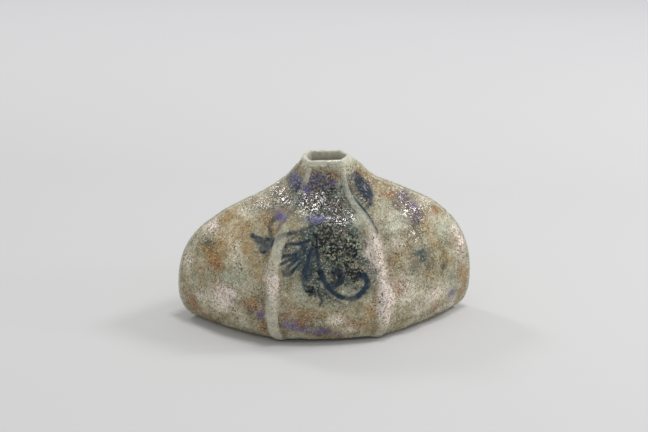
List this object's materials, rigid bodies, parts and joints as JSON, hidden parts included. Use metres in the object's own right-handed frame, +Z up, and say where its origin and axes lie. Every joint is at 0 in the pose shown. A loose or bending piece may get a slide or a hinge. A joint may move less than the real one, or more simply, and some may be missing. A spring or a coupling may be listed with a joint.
{
  "type": "pillow vase",
  "caption": "Low, wide pillow vase of bowed stoneware slabs with raised seam beads, swept-up shoulders and a small faceted mouth, to hold water and stems.",
  "frame": {"origin": "centre of the base, on the surface the vase stands on", "axes": "+X along the width to the viewer's right, +Y to the back, +Z up through the mouth; the front wall faces -Y"},
  "size_m": [0.172, 0.1, 0.096],
  "materials": {
    "glazed_wall": "mottled pitted glaze, partly glossy",
    "pale_seam": "thin pale grey-green glaze",
    "pale_rim": "smooth pale grey-green glaze",
    "glazed_floor": "thin brown glaze, bare beneath",
    "inside_clay": "thinly washed clay"
  },
  "bodies": {
    "root": {"front_wall": "glazed_wall", "back_wall": "glazed_wall", "left_front_wall": "glazed_wall", "right_front_wall": "glazed_wall", "left_back_wall": "glazed_wall", "right_back_wall": "glazed_wall", "front_left_seam_bead": "pale_seam", "front_right_seam_bead": "pale_seam", "back_left_seam_bead": "pale_seam", "back_right_seam_bead": "pale_seam", "left_seam_bead": "pale_seam", "right_seam_bead": "pale_seam", "mouth_collar": "pale_rim", "floor_slab": "glazed_floor", "floor_coil": "inside_clay", "front_left_inner_coil": "inside_clay", "front_right_inner_coil": "inside_clay", "back_left_inner_coil": "inside_clay", "back_right_inner_coil": "inside_clay", "left_inner_coil": "inside_clay", "right_inner_coil": "inside_clay"}
  },
  "joints": []
}
